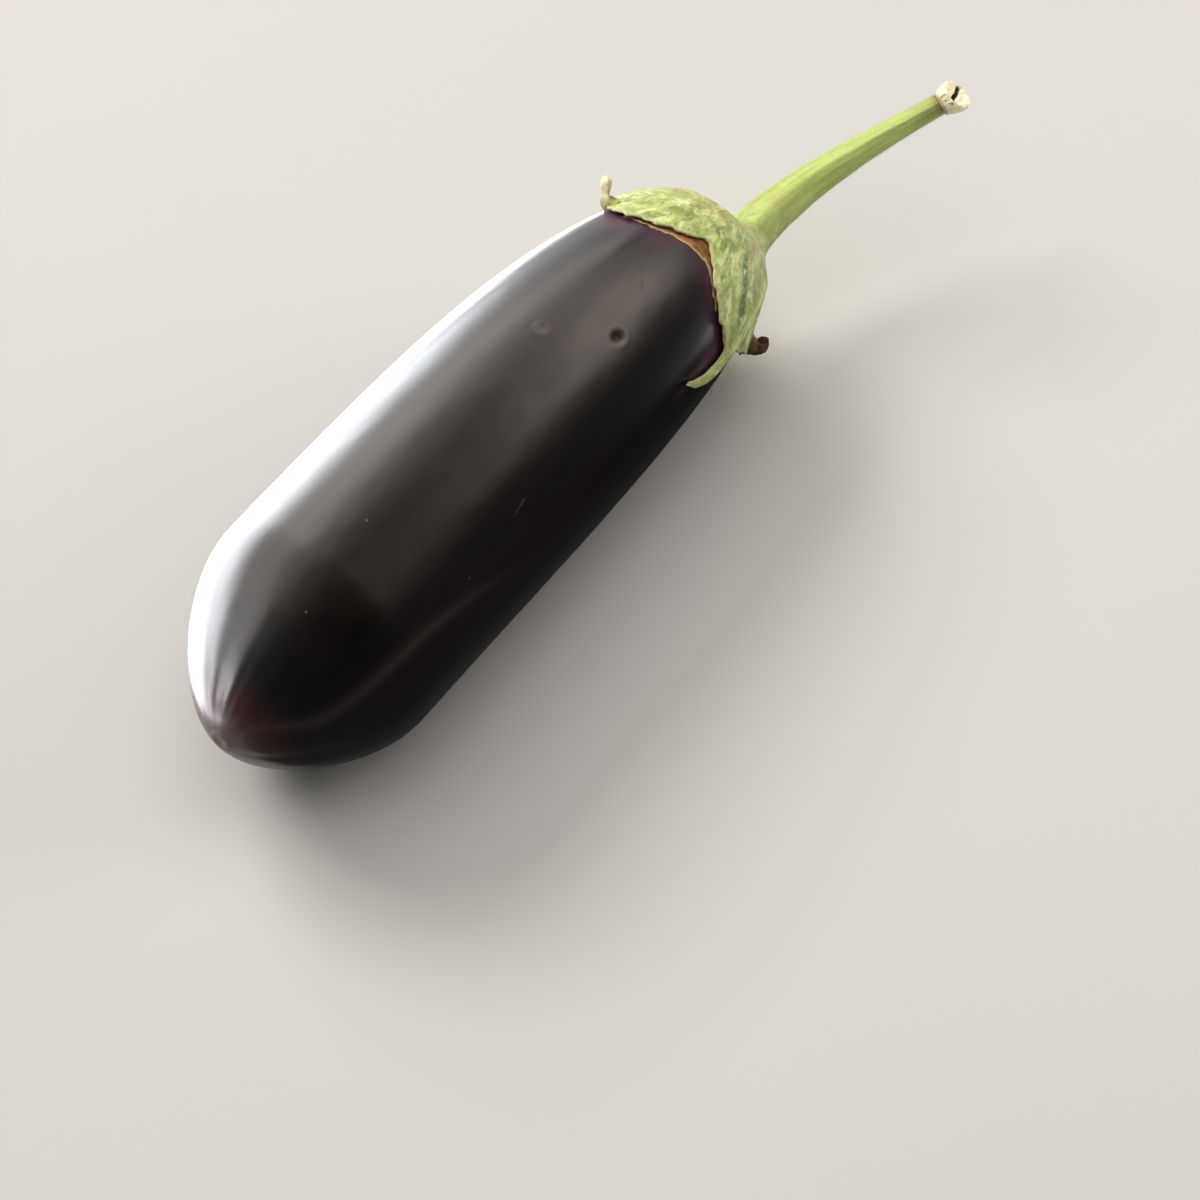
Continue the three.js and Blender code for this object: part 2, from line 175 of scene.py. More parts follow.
def axis_point(along):
    t = np.clip(along / FRUIT_LENGTH, 0, 1)
    bend = np.maximum(0, (t - END_BEND_FROM) / (1 - END_BEND_FROM)) ** 2
    side = BOW * 4 * t * (1 - t) + END_BEND * bend
    return np.stack([along - REST_AT, side * BOW_Y, AXIS_HEIGHT + side * BOW_Z], axis=-1)


def skin_radius(along, roll):
    waves = sum(share * np.cos(count * np.radians(roll - at)) for count, at, share in PLANES)
    belly = BELLY * bell(along - BELLY_AT, BELLY_REACH) * np.maximum(0, -np.cos(np.radians(roll))) ** 4
    near_tip = along / FLUTE_PEAK_AT
    depth = FLUTE_DEPTH * near_tip * np.exp(1 - near_tip) * bell(along, FLUTE_REACH)
    flutes = sum(bell(roll_between(at, roll), FLUTE_HALF_WIDTH) for at in FLUTE_ROLLS)
    return body_radius(along) * (1 + waves) + belly - depth * flutes


def skin_normal(along, roll):
    after = np.minimum(FRUIT_LENGTH, along + 0.02)
    before = np.maximum(0, along - 0.02)
    slope = (body_radius(after) - body_radius(before)) / (after - before)
    outward = radial(roll)
    outward[..., 0] -= slope
    return unit(outward)


def skin_point(along, roll, outward=0.0):
    along, roll, outward = np.broadcast_arrays(*(np.asarray(v, float) for v in (along, roll, outward)))
    point = axis_point(along) + radial(roll) * skin_radius(along, roll)[..., None]
    return point + skin_normal(along, roll) * outward[..., None]


# Depths below the fruit's stalk end, and how far each is from that end along the skin
TABLE_DEPTH = 80
TABLE_STEPS = 900
depths = TABLE_DEPTH * (np.arange(TABLE_STEPS + 1) / TABLE_STEPS) ** 3
skin_steps = np.hypot(np.diff(depths), np.diff(body_radius(FRUIT_LENGTH - depths)))
arcs = np.concatenate([[0], np.cumsum(skin_steps)])


def calyx_columns(widest, closest):
    """Columns round the calyx, closer together near the lobes' tips, as a dict of arrays."""
    columns = []
    for index, lobe in enumerate(LOBES):
        after = LOBES[(index + 1) % len(LOBES)]
        end = after["start"] if index + 1 < len(LOBES) else after["start"] + 360
        edges = ((lobe["start"], lobe["sinus"], lobe["bulge"][0]), (end, after["sinus"], lobe["bulge"][1]))
        for edge, sinus, bulge in edges:
            span = abs(edge - lobe["tip"])
            steps = max(3, round(span / widest))
            power = math.log(span / closest) / math.log(steps)
            for step in range(1, steps + 1):
                if edge > lobe["tip"] and step == steps:
                    continue
                share = (step / steps) ** power
                columns.append((lobe["tip"] + (edge - lobe["tip"]) * share, share, sinus, bulge, lobe))
        columns.append((lobe["tip"], 0, lobe["sinus"], 0, lobe))
    columns.sort(key=lambda column: column[0])
    roll, share, sinus, bulge = (np.array([column[i] for column in columns], float) for i in range(4))

    def each(name):
        return np.array([column[4][name] for column in columns], float)

    off_tip = roll - each("tip")
    body = sinus + (each("body") - sinus) * (1 - share) ** each("curve") + bulge * 4 * share * (1 - share)
    worn = each("worn") * smooth_step(*WORN_FROM, roll) * smooth_step(*WORN_TO, roll)
    return {
        "roll": roll,
        "off_tip": off_tip,
        "reach": np.interp(body, depths, arcs) + each("point") * plateau(off_tip, each("width")) - worn,
        "point_from": np.interp(each("body"), depths, arcs),
        "point": each("point"),
        "lean": each("lean") * bell(off_tip, each("width") * 2),
        "lift": each("lift") * (1 - share**2),
    }


def along_lobe(columns, arc):
    return np.clip((arc - SINUS_RING_ARC) / (columns["reach"] - SINUS_RING_ARC), 0, 1)


def calyx_point(columns, arc, outward):
    free = along_lobe(columns, arc)
    drawn_out = np.maximum(0, (arc - columns["point_from"]) / columns["point"])
    roll = columns["roll"] + columns["lean"] * drawn_out**LEAN_POWER
    along = FRUIT_LENGTH - np.interp(arc, arcs, depths)
    return skin_point(along, roll, CALYX_GAP + columns["lift"] * free**2 + outward)


stalk_origin = np.array([FRUIT_LENGTH - REST_AT, 0, AXIS_HEIGHT])
stalk_handles = np.array(STALK_CURVE) + stalk_origin
bezier_steps = np.linspace(0, 1, 801)


def bezier(t):
    t = np.asarray(t, float)[..., None]
    a, b, c, d = stalk_handles
    return a * (1 - t) ** 3 + 3 * b * t * (1 - t) ** 2 + 3 * c * t**2 * (1 - t) + d * t**3


bezier_points = bezier(bezier_steps)
bezier_lengths = np.concatenate([[0], np.cumsum(np.linalg.norm(np.diff(bezier_points, axis=0), axis=1))])
STALK_LENGTH = bezier_lengths[-1]


def stalk_centre(t):
    return bezier(np.interp(np.asarray(t, float) * STALK_LENGTH, bezier_lengths, bezier_steps))


def stalk_ahead(t):
    t = np.asarray(t, float)
    return unit(stalk_centre(np.minimum(1, t + 0.002)) - stalk_centre(np.maximum(0, t - 0.002)))


def stalk_radial(t, roll):
    """The outward direction at a roll, turned with the stalk as it bends."""
    t, roll = np.broadcast_arrays(np.asarray(t, float), np.asarray(roll, float))
    ahead = stalk_ahead(t)
    out = radial(roll)
    # The shortest turn from +X to ahead, applied to out
    cross = np.cross(np.array([1.0, 0, 0]), ahead)
    cosine = ahead[..., :1]
    along = np.sum(cross * out, axis=-1, keepdims=True)
    return out * cosine + np.cross(cross, out) + cross * along / (1 + cosine)


def stalk_radius(t, roll):
    radius = STALK_END_RADIUS + (NECK_RADIUS - STALK_END_RADIUS) * (1 - t) ** STALK_TAPER
    turn = np.radians(roll + 90)
    ribs, rib_share = STALK_RIBS
    ripples, ripple_share = STALK_RIPPLES
    ripple = ripple_share * np.cos(ripples * turn + 3 * t) * np.minimum(1, 4 * t)
    return radius * (1 + rib_share * np.cos(ribs * turn) + ripple)


def stalk_point(t, roll):
    t, roll = np.broadcast_arrays(np.asarray(t, float), np.asarray(roll, float))
    return stalk_centre(t) + stalk_radial(t, roll) * stalk_radius(t, roll)[..., None]


def make_mesh(name, points, faces, attributes=None):
    """A smooth-shaded mesh object from points in millimetres. Attributes are vertex floats or vectors."""
    mesh = bpy.data.meshes.new(name)
    mesh.from_pydata((points * MM).tolist(), [], faces)
    mesh.validate()
    mesh.polygons.foreach_set("use_smooth", [True] * len(mesh.polygons))
    for key, values in (attributes or {}).items():
        if values.ndim == 1:
            mesh.attributes.new(key, "FLOAT", "POINT").data.foreach_set("value", values)
        else:
            mesh.attributes.new(key, "FLOAT_VECTOR", "POINT").data.foreach_set("vector", values.ravel())
    mesh.update()
    piece = bpy.data.objects.new(name, mesh)
    bpy.context.scene.collection.objects.link(piece)
    return piece


def loft_faces(rings, columns):
    """Faces of a closed loft: point 0 is the first pole, then the rings' points, then the last pole."""
    faces = []
    last = 1 + rings * columns
    for column in range(columns):
        after = (column + 1) % columns
        faces.append((0, 1 + column, 1 + after))
        faces.append((last - columns + column, last, last - columns + after))
        for ring in range(rings - 1):
            here = 1 + ring * columns
            faces.append((here + column, here + columns + column, here + columns + after, here + after))
    return faces


def closed_loft(name, first, rings, last, attributes):
    """A mesh of rings closed by a pole at each end. Attributes are grids of values, like the rings."""
    points = np.concatenate([first[None], rings.reshape(-1, 3), last[None]])
    values = {key: with_poles(grid) for key, grid in attributes.items()}
    return make_mesh(name, points, loft_faces(rings.shape[0], rings.shape[1]), values)


def with_poles(grid):
    """A ring grid's values with one for each pole, the average of the ring beside it."""
    flat = grid.reshape(-1, *grid.shape[2:])
    return np.concatenate([grid[0].mean(axis=0)[None], flat, grid[-1].mean(axis=0)[None]])


def spread(count, place, crowds):
    """count shares from 0 to 1, closer together near each crowd, which has (at, reach, closeness)."""
    fine = np.linspace(0, 1, 6001)
    density = 1 + sum(closeness * bell(place(fine) - at, reach) for at, reach, closeness in crowds)
    total = np.concatenate([[0], np.cumsum((density[1:] + density[:-1]) / 2)])
    return np.interp(np.linspace(0, 1, count), total / total[-1], fine)


# Marks on the skin, by the distance along the axis and the roll
PIT = (135, -30)
DENT = (123, -3)

# A ridge runs along the side that faces the camera and turns in to the blossom scar. Creases run from the
# scar: the roll and the length of each.
RIDGE_ALONG = [2, 6.3, 12.6, 18.9, 25.6, 34.3, 43.6, 59.9, 77.4]
RIDGE_ROLL = [-34, -52, -64, -63, -60.5, -58.5, -59.5, -64.5, -72.5]
CREASES = [(-16, 14), (-4, 11), (6, 8), (19, 9), (31, 12)]
CREASE_DEPTH = 0.055
CREASE_HALF_WIDTH = 4.2

# Scratches: the distance along the axis, the roll, the half sizes in millimetres and the turn of each
SCRATCHES = [
    (153, -17, (7.5, 0.42, 1.5), (0, 0.1, 0.7)),
    (150, -12, (4.5, 0.3, 1.5), (0, 0.1, 0.55)),
    (116, -16, (4.0, 0.3, 1.5), (0, 0, -0.5)),
    (84, -52, (5.0, 0.3, 1.5), (0.5, 0, 0.25)),
    (60, 8, (5.0, 0.32, 1.5), (0, 0, 0.9)),
]

# Cork at the calyx's edge: how far out it reaches and its half width in degrees, in the corner that faces the
# camera and in the others, and the thin line that goes on from there
MAIN_CORK = (5.9, 24)
SMALL_CORK = (2.2, 9)
CORK_LINE = (1.25, 40)

# The fruit's mesh
FRUIT_RINGS = 260
FRUIT_COLUMNS = 376


def mark_offsets(along, roll, at):
    """Millimetres along and round the skin from a mark to each point."""
    across = np.radians(roll_between(at[1], roll)) * body_radius(np.array(float(at[0])))
    return along - at[0], across


def near_ridge(along, roll):
    """How strong the ridge is at each point, and the millimetres round the skin from its line."""
    turn = np.radians(roll_between(np.interp(along, RIDGE_ALONG, RIDGE_ROLL), roll))
    return smooth_step(1, 9, along) * smooth_step(100, 45, along), turn * body_radius(along)


def skin_relief(along, roll, points):
    """Small forms on the skin, in millimetres outward."""
    relief = 0.16 * soft_noise(points * [0.4, 1, 1], 26, 3, 2)
    relief += 0.035 * soft_noise(points * [0.45, 1, 1], 6, 5, 3)
    length, across = mark_offsets(along, roll, PIT)
    far = np.hypot(length * 0.9, across)
    relief += 0.05 * bell(far - 2.7, 0.9) - 0.50 * bell(far, 1.15) - 0.14 * bell(far, 4.5)
    length, across = mark_offsets(along, roll, DENT)
    far = np.hypot(length, across * 1.25)
    side = np.arctan2(across, length)
    relief += 0.05 * bell(far - 2.1, 0.7) * (1.1 + np.cos(side - 2.2)) - 0.10 * bell(far, 1.6)
    strength, off_ridge = near_ridge(along, roll)
    relief += strength * (0.55 * np.exp(-np.hypot(off_ridge, 0.7) / 4.0) - 0.30 * bell(off_ridge + 9, 6))
    for at, reach in CREASES:
        depth = CREASE_DEPTH * smooth_step(1.2, 5, along) * smooth_step(reach + 9, reach * 0.6, along)
        relief -= depth * bell(roll_between(at, roll), CREASE_HALF_WIDTH)
    off_axis = points - axis_point(along)
    near_scar = np.hypot(off_axis[..., 1], off_axis[..., 2])
    scar = np.where(along < 6, bell(near_scar, 1.4), 0)
    relief += -0.35 * scar + np.where(along < 8, 0.14 * bell(near_scar - 2.4, 0.8), 0)
    return relief


def along_at(share):
    return FRUIT_LENGTH * (1 - np.cos(np.pi * share)) / 2


def roll_at(share):
    return 360 * share - 180


def make_fruit():
    # Rings and columns crowd round the pit, the dent, the creases and the ridge
    rings = spread(FRUIT_RINGS, along_at, [(PIT[0], 4, 2.2), (DENT[0], 4, 1), (4, 9, 1.2)])
    turns = spread(FRUIT_COLUMNS + 1, roll_at, [(PIT[1], 8, 2.0), (5, 32, 0.9), (-62, 10, 0.8)])
    along, roll = np.meshgrid(along_at(rings[1:-1]), roll_at(turns[:-1]), indexing="ij")
    points = skin_point(along, roll)
    points = skin_point(along, roll, skin_relief(along, roll, points))
    points[..., 2] = np.maximum(points[..., 2], 0)
    first = skin_point(0, 0) + [0.45, 0, 0]
    last = skin_point(FRUIT_LENGTH, 0)

    # How far each point is from the calyx's edge: positive on the bare skin
    shape = calyx_columns(1.5, 0.4)
    order = np.argsort((shape["roll"] + shape["lean"] + 180) % 360)
    edge_roll = ((shape["roll"] + shape["lean"] + 180) % 360 - 180)[order]
    edge_arc = shape["reach"][order]
    reach = np.interp(roll, edge_roll, edge_arc, period=360)
    arc = np.interp(FRUIT_LENGTH - along, depths, arcs)
    bare = np.where(FRUIT_LENGTH - along < 79, arc - reach, 60.0)
    # Cork fills the corners between the lobes: positive inside it
    cork = np.full(arc.shape, -10.0)
    for index, lobe in enumerate(LOBES):
        corner = np.interp(lobe["sinus"], depths, arcs)
        out, half = MAIN_CORK if index == 0 else SMALL_CORK
        off = roll_between(lobe["start"] + 2, roll)
        limit = corner + out + 2.2 * (off / half) ** 2 + 0.35 * soft_noise(points, 7, 41 + index, 3)
        cork = np.maximum(cork, np.where(np.abs(off) < half, limit - arc, -10))
    # A thin brown line goes on along the edge from the main corner
    off = roll_between(LOBES[0]["start"] + 8, roll)
    out, half = CORK_LINE
    line = out * (1 - (off / half) ** 2) + 0.45 * soft_noise(points, 4, 47, 3)
    cork = np.maximum(cork, np.where(np.abs(off) < half, line - bare, -10))
    cork = np.where(FRUIT_LENGTH - along < 60, cork, -10)
    strength, off_ridge = near_ridge(along, roll)
    return closed_loft(
        "fruit_skin",
        first,
        points,
        last,
        {
            "bare": np.clip(bare, -10, 60),
            "cork": np.clip(cork, -5, 8),
            "along": along,
            # Where the painted highlight along the ridge goes
            "ridge": strength * np.exp(-np.abs(off_ridge) / 2.4),
            "tip_flow": radial(roll) * 8 + np.array([0.12, 0, 0]) * along[..., None],
        },
    )


def calyx_relief(columns, arc, points):
    """Ridges and folds of the calyx's outer face, in millimetres outward."""
    free = along_lobe(columns, arc)
    ridge = bell(columns["off_tip"], 3.2) * smooth_step(14, 22, arc) * (1 - free**3)
    side = 0.5 * np.cos(np.radians(columns["off_tip"]) * 14) * smooth_step(16, 26, arc) * (1 - free)
    crumple = soft_noise(points, 5.5, 11, 3)
    return 0.55 * ridge + 0.16 * side + 0.2 * crumple * smooth_step(12, 22, arc)


def ragged(columns):
    """Small notches and waves along the edge, in millimetres."""
    turn = np.radians(columns["roll"])
    wave = 0.34 * np.sin(23 * turn + 1) + 0.24 * np.sin(41 * turn + 2.3) + 0.18 * np.sin(67 * turn + 0.4)
    return wave * np.clip(np.abs(columns["off_tip"]) / 6, 0.15, 1)


def make_calyx():
    columns = calyx_columns(1.25, 0.3)
    rings, edge, up = [], [], []

    def ring(points, from_edge, height):
        rings.append(points)
        edge.append(np.broadcast_to(from_edge, columns["roll"].shape).astype(float))
        up.append(np.full(columns["roll"].shape, float(height)))

    def on_lobe(share):
        return SINUS_RING_ARC + (columns["reach"] + ragged(columns) - SINUS_RING_ARC) * share

    def thickness(arc):
        free = along_lobe(columns, arc)
        return EDGE_THICKNESS + (CALYX_THICKNESS - EDGE_THICKNESS) * (1 - free**2)

    def outer(arc):
        points = calyx_point(columns, arc, thickness(arc))
        return calyx_point(columns, arc, thickness(arc) + calyx_relief(columns, arc, points))

    for step in range(1, 9):
        arc = SINUS_RING_ARC * step / 8
        ring(calyx_point(columns, np.full_like(columns["roll"], arc), 0), columns["reach"] - arc, -1)
    for share in np.linspace(0, 1, 27)[1:]:
        arc = on_lobe(share)
        ring(calyx_point(columns, arc, 0), columns["reach"] - arc, -1)
    # The edge is rounded between the inner face and the outer one
    arc = on_lobe(1)
    ring(calyx_point(columns, arc + 0.22, EDGE_THICKNESS * 0.3), 0, 0)
    ring(calyx_point(columns, arc + 0.22, EDGE_THICKNESS * 0.7), 0, 0)
    for share in np.linspace(1, 0, 27):
        arc = on_lobe(share)
        ring(outer(arc), columns["reach"] - arc, 0)
    for arc in np.linspace(SINUS_RING_ARC, COLLAR_ARC, 8)[1:-1]:
        arc = np.full_like(columns["roll"], arc)
        ring(outer(arc), columns["reach"] - arc, 0)
    collar = np.full_like(columns["roll"], COLLAR_ARC)
    start = outer(collar)
    further_in = calyx_point(columns, collar - 0.5, thickness(collar))
    ahead = unit(further_in - calyx_point(columns, collar, thickness(collar)))
    end = stalk_point(0, columns["roll"])
    span = np.linalg.norm(end - start, axis=-1, keepdims=True)
    for t in np.linspace(0, 1, 25)[:-1]:
        point = start * (1 + 2 * t) * (1 - t) ** 2 + ahead * span * CALYX_TENSION * t * (1 - t) ** 2
        point = point + end * t * t * (3 - 2 * t) + stalk_ahead(0) * span * STALK_TENSION * t * t * (t - 1)
        ring(point, columns["reach"] - COLLAR_ARC + 6 * t, 0.02 + 0.98 * t)
    for t in np.linspace(0, 1, 91):
        grain = 0.07 * soft_noise(stalk_point(t, columns["roll"]) * [0.25, 1, 1], 2.2, 17, 2)
        point = stalk_point(t, columns["roll"]) + stalk_radial(t, columns["roll"]) * grain[..., None]
        ring(point, columns["reach"] - COLLAR_ARC + 6 + STALK_LENGTH * t, 1 + t)
    rings = np.stack(rings)
    edge = np.stack(edge)
    up = np.stack(up)
    turn = np.radians(columns["roll"])
    radius = np.interp(up, [-1, 0, 1, 2], [24, 24, 6, 3.6])
    flow = np.stack([edge, radius * np.sin(turn), radius * np.cos(turn)], axis=-1)
    arc = np.where(up == 0, columns["reach"] - edge, 0)
    roll = np.broadcast_to(columns["roll"] % 360, edge.shape)
    return closed_loft(
        "calyx_with_stalk",
        skin_point(FRUIT_LENGTH, 0, CALYX_GAP),
        rings,
        stalk_centre(1.0),
        {"flow": flow, "edge": edge, "up": up, "arc": arc, "roll": roll},
    )


def make_withered_tip(
    name, lobe, turn, depth, length, width, thickness, radius, curl, twist, widths, rough, seed
):
    """A shrivelled blade that leaves its lobe a depth inside the lobe's end and curls up off the skin."""
    one = {key: np.array([float(value)]) for key, value in dict(
        roll=lobe["tip"] + turn, lean=0, lift=lobe["lift"], point=lobe["point"],
        point_from=np.interp(lobe["body"], depths, arcs),
        reach=np.interp(lobe["body"], depths, arcs) + lobe["point"],
    ).items()}
    root_arc = one["reach"] - depth
    middle = 0.4
    root = calyx_point(one, root_arc, middle)[0]
    onward = unit(calyx_point(one, root_arc + 0.1, middle)[0] - root)
    outward = skin_normal(FRUIT_LENGTH - np.interp(root_arc, arcs, depths), one["roll"])[0]
    sideways = unit(np.cross(onward, outward))
    shares = np.linspace(0, 1, 46)
    turns = np.linspace(0, 2 * math.pi, 37)[:-1]
    rings = []
    for share in shares:
        angle = min(share * length / radius, math.radians(curl))
        straight = share * length - angle * radius
        ahead = radius * math.sin(angle) + straight * math.cos(angle)
        up = radius * (1 - math.cos(angle)) + straight * math.sin(angle)
        centre = root + onward * ahead + outward * up
        back = outward * math.cos(angle) - onward * math.sin(angle)
        spin = math.radians(twist) * share**2
        wide = sideways * math.cos(spin) + back * math.sin(spin)
        deep = back * math.cos(spin) - sideways * math.sin(spin)
        swell = np.interp(share, [0, 0.2, 0.45, 0.8, 1], widths) * (1 + rough * math.sin(9 * share + seed))
        swell *= math.sqrt(max(0.02, 1 - max(0, (share - 0.82) / 0.18) ** 2))
        pinch = 1 - 0.3 * np.abs(np.cos(turns * 2 + 0.8)) * min(1, 2 * share)
        offset = np.cos(turns)[:, None] * wide * width / 2 + np.sin(turns)[:, None] * deep * thickness / 2
        rings.append(centre + offset * swell * pinch[:, None])
    rings = np.stack(rings)
    centres = rings.mean(axis=1, keepdims=True)
    lumps = 1 + rough * soft_noise(rings, 1.3, seed, 3)
    rings = centres + (rings - centres) * lumps[..., None]
    around = (np.cos(turns)[None] * 2, np.sin(turns)[None] * 2)
    flow = np.stack(np.broadcast_arrays(shares[:, None] * length, *around), -1)
    share = np.broadcast_to(shares[:, None], rings.shape[:2])
    return closed_loft(
        name, rings[0].mean(axis=0), rings, rings[-1].mean(axis=0),
        {"flow": flow, "withered": share},
    )


def make_dried_end():
    direction = stalk_ahead(1.0)
    base = stalk_centre(1.0) + direction * 0.02
    rolls = np.linspace(0, 360, 97)[:-1]
    turn = np.radians(rolls)
    out = stalk_radial(1.0, rolls)
    lumps = 1 + sum(share * np.cos(count * np.radians(rolls - at)) for count, at, share in KNOB_LUMPS)
    fibres = 0.018 * np.cos(17 * turn + 0.6) + 0.012 * np.cos(29 * turn + 2)
    rim = 0.14 * np.cos(5 * turn + 1) + 0.12 * np.cos(11 * turn + 2.2)
    across_split = turn - math.radians(SPLIT_ROLL)
    length = KNOB_LENGTH + KNOB_GAP - 0.02
    slope = math.tan(math.radians(KNOB_SLANT)) * np.cos(np.radians(rolls - KNOB_SLANT_ROLL))
    rings, hollow = [], []

    def ring(width, height, depth):
        rings.append(base + out * width[:, None] + direction * np.broadcast_to(height, width.shape)[:, None])
        hollow.append(np.broadcast_to(depth, width.shape).astype(float))

    for share in (0.3, 0.6, 0.85):
        ring(KNOB_FOOT_RADIUS * share * np.ones_like(rolls), -0.02, 0)
    for up in np.linspace(0, 1, 34):
        waist = np.interp(up, [0, 0.04, 0.14, 0.4, 0.7, 0.92, 1], [0.98, 1.02, 1, 0.35, 0, 0, 0.3])
        radius = KNOB_RADIUS + (KNOB_BASE_RADIUS - KNOB_RADIUS) * waist
        groove = 0.2 * bell(up - 0.1, 0.035) - 0.16 * bell(up - 0.19, 0.05)
        width = radius * (lumps + fibres * min(1, 5 * up)) - groove
        top = length - slope * width + rim
        ring(width, 0.1 + (top - 0.1) * up, 0)
    for share in np.linspace(0.94, 0.06, 26):
        width = KNOB_RADIUS * share * (lumps + 0.6 * fibres)
        x = width * np.cos(across_split)
        y = width * np.sin(across_split)
        bent = y - 0.2 * np.sin(x * 1.1)
        slit = bell(bent, 0.50) * smooth_step(3.9, 3.2, np.abs(x))
        pith = bell(np.hypot(x * 0.8, y) - 2.2, 0.45)
        depth = 2.5 * slit + 0.45 * smooth_step(0.9, 0.4, share) + 0.2 * pith
        spot = np.stack([x, y, np.zeros_like(x)], axis=-1)
        grain = 0.16 * soft_noise(spot, 1.3, 31, 3)
        height = length - slope * width + rim * share**3 - depth + grain
        # hollow marks the slit, where painted shade goes on the colour
        ring(width, height, np.clip(slit * 1.6, 0, 1))
    rings = np.stack(rings)
    hollow = np.stack(hollow)
    flow = np.stack(np.broadcast_arrays(
        (rings - base) @ direction, np.cos(turn)[None] * 4, np.sin(turn)[None] * 4), -1)
    top = rings[-1].mean(axis=0)
    return closed_loft(
        "dried_stalk_end", base - direction * 0.02, rings, top,
        {"flow": flow, "hollow": hollow, "height": flow[..., 0]},
    )


# A hair has three sides, a third of a turn apart
HAIR_CORNERS = (0, 2.0944, 4.18879)
HAIR_COUNT = 2600
HAIR_SEED = 5


def make_hairs(name, count, seed):
    """Fine short hairs that stand on the stalk and the neck."""
    source = random.Random(seed)
    points, faces = [], []
    for _ in range(count):
        t = source.random() ** 0.9
        roll = source.uniform(0, 360)
        foot = stalk_point(t, roll)
        out = stalk_radial(t, roll)
        forward = stalk_ahead(t) * source.uniform(-0.5, 0.7)
        scatter = np.array([source.gauss(0, 0.25) for _ in range(3)])
        lean = unit(out + forward + scatter)
        length = source.uniform(0.35, 1.0)
        width = source.uniform(0.022, 0.036)
        side = unit(np.cross(lean, stalk_ahead(t)))
        other = np.cross(lean, side)
        start = len(points)
        for turn in HAIR_CORNERS:
            points.append(foot - out * 0.05 + side * width * math.cos(turn) + other * width * math.sin(turn))
        bend = foot + lean * length * 0.6
        for turn in HAIR_CORNERS:
            points.append(bend + (side * math.cos(turn) + other * math.sin(turn)) * width * 0.6)
        points.append(bend + unit(lean + stalk_ahead(t) * 0.4) * length * 0.4)
        a, b, c, d, e, f, g = range(start, start + 7)
        faces += [(c, b, a), (a, b, e, d), (b, c, f, e), (c, a, d, f), (d, e, g), (e, f, g), (f, d, g)]
    return make_mesh(name, np.array(points), faces)


# Materials


# A Mix node's colour sockets
MIX_FIRST = 6
MIX_SECOND = 7
MIX_RESULT = 2


class Shader:
    """A material's node tree, with short ways to add nodes and join them."""

    def __init__(self, name):
        self.material = bpy.data.materials.new(name)
        self.material.use_nodes = True
        self.tree = self.material.node_tree
        self.bsdf = self.tree.nodes["Principled BSDF"]

    def node(self, kind, inputs=None, **settings):
        made = self.tree.nodes.new("ShaderNode" + kind)
        for key, value in settings.items():
            setattr(made, key, value)
        for key, value in (inputs or {}).items():
            self.put(value, made.inputs[key])
        return made

    def put(self, value, socket):
        if isinstance(value, bpy.types.NodeSocket):
            self.tree.links.new(value, socket)
        else:
            socket.default_value = value

    def surface(self, inputs):
        """Gives the surface's own sockets their values and returns the material."""
        for key, value in inputs.items():
            self.put(value, self.bsdf.inputs[key])
        return self.material

    def attribute(self, name, output="Fac"):
        return self.node("Attribute", attribute_name=name).outputs[output]

    def place(self):
        return self.node("TexCoord").outputs["Object"]

    def scaled(self, vector, scale):
        return self.node("Mapping", {"Vector": vector, "Scale": scale}).outputs[0]

    def noise(self, vector, scale, detail=4.0, rough=0.55, distortion=0.0):
        made = self.node("TexNoise", {
            "Vector": vector, "Scale": scale, "Detail": detail, "Roughness": rough, "Distortion": distortion})
        return made.outputs["Fac"]

    def ramp(self, value, low, high, start=0.0, end=1.0):
        """Goes smoothly from start to end as value goes from low to high."""
        made = self.node("MapRange", {
            "Value": value, "From Min": low, "From Max": high, "To Min": start, "To Max": end},
            interpolation_type="SMOOTHSTEP")
        return made.outputs["Result"]

    def maths(self, operation, first, second=0.0):
        made = self.node("Math", operation=operation)
        self.put(first, made.inputs[0])
        self.put(second, made.inputs[1])
        return made.outputs[0]

    def product(self, *values):
        total = values[0]
        for value in values[1:]:
            total = self.maths("MULTIPLY", total, value)
        return total

    def mix(self, share, first, second):
        made = self.node("Mix", data_type="RGBA")
        self.put(share, made.inputs["Factor"])
        self.put(first, made.inputs[MIX_FIRST])
        self.put(second, made.inputs[MIX_SECOND])
        return made.outputs[MIX_RESULT]

    def spot(self, at, size, turn=(0, 0, 0)):
        """1 at a place on the object and 0 outside an ellipsoid round it. At and size are in millimetres."""
        made = self.node("Mapping", {
            "Vector": self.place(),
            "Location": [value * MM for value in at],
            "Rotation": turn,
            "Scale": [value * MM for value in size],
        }, vector_type="TEXTURE")
        return self.node("TexGradient", {"Vector": made.outputs[0]}, gradient_type="SPHERICAL").outputs["Fac"]

    def bump(self, height, distance, strength=1.0, normal=None):
        inputs = {"Height": height, "Distance": distance, "Strength": strength}
        if normal is not None:
            inputs["Normal"] = normal
        return self.node("Bump", inputs).outputs[0]


# Colours of the skin and its marks, and the painted highlight along its ridge
SKIN_BLACK = (0.0024, 0.0017, 0.0014, 1)
SKIN_BROWN = (0.0048, 0.0030, 0.0027, 1)
SKIN_CLOUD = (0.0070, 0.0040, 0.0038, 1)
PAINTED_RIDGE_HIGHLIGHT = (0.024, 0.016, 0.016, 1)
BLOSSOM_MAROON = (0.062, 0.0085, 0.0105, 1)
SCAR_BROWN = (0.085, 0.045, 0.028, 1)
EDGE_PURPLE = (0.055, 0.016, 0.034, 1)
CORK_DARK = (0.11, 0.045, 0.014, 1)
CORK_WARM = (0.30, 0.135, 0.040, 1)
CORK_PALE = (0.43, 0.28, 0.125, 1)
PIT_RIM = (0.045, 0.03, 0.024, 1)
PIT_HOLE = (0.003, 0.002, 0.002, 1)
DENT_TONE = (0.05, 0.038, 0.03, 1)
SCRATCH_TONE = (0.10, 0.08, 0.07, 1)
SPECK_TONE = (0.20, 0.16, 0.13, 1)


